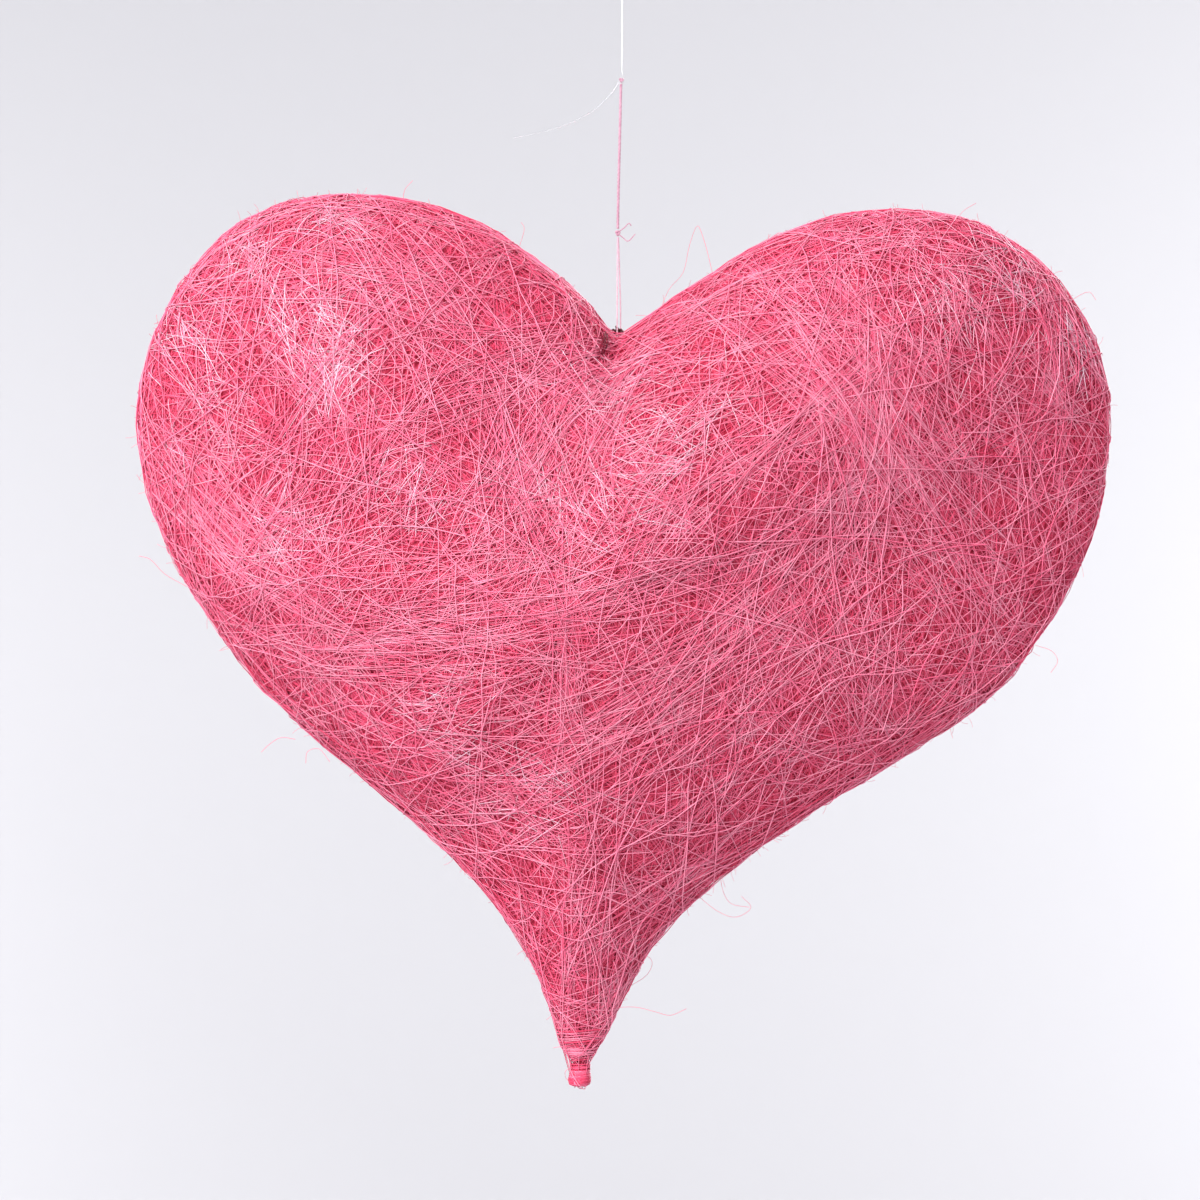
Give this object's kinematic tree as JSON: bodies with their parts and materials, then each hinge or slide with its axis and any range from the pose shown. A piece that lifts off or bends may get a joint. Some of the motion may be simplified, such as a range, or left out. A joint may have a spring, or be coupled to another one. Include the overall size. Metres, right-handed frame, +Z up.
{
  "type": "sisal heart",
  "caption": "Hanging heart ornament of pink sisal fibre wound over a wire frame, with its thread and a clear line to hang it by.",
  "frame": {"origin": "top of the clear line's loop, where a hook carries the ornament", "axes": "+Z up along the hanging line, front of the heart towards -Y, +X to the viewer's right"},
  "size_m": [0.3, 0.1, 0.35],
  "materials": {
    "sisal": "dyed plant fibre, laid in all directions, with a dull gloss",
    "wire": "dark, stained with dye",
    "thread": "pale pink twisted cotton",
    "clear_line": "clear nylon"
  },
  "bodies": {
    "root": {"sisal_heart": "sisal", "wire_twist": "wire", "thread_strand_front": "thread", "thread_strand_back": "thread", "thread_knot": "thread", "thread_doubled": "thread", "line_knot": "clear_line", "line_upper": "clear_line", "line_tail": "clear_line", "line_loop": "clear_line"}
  },
  "joints": []
}
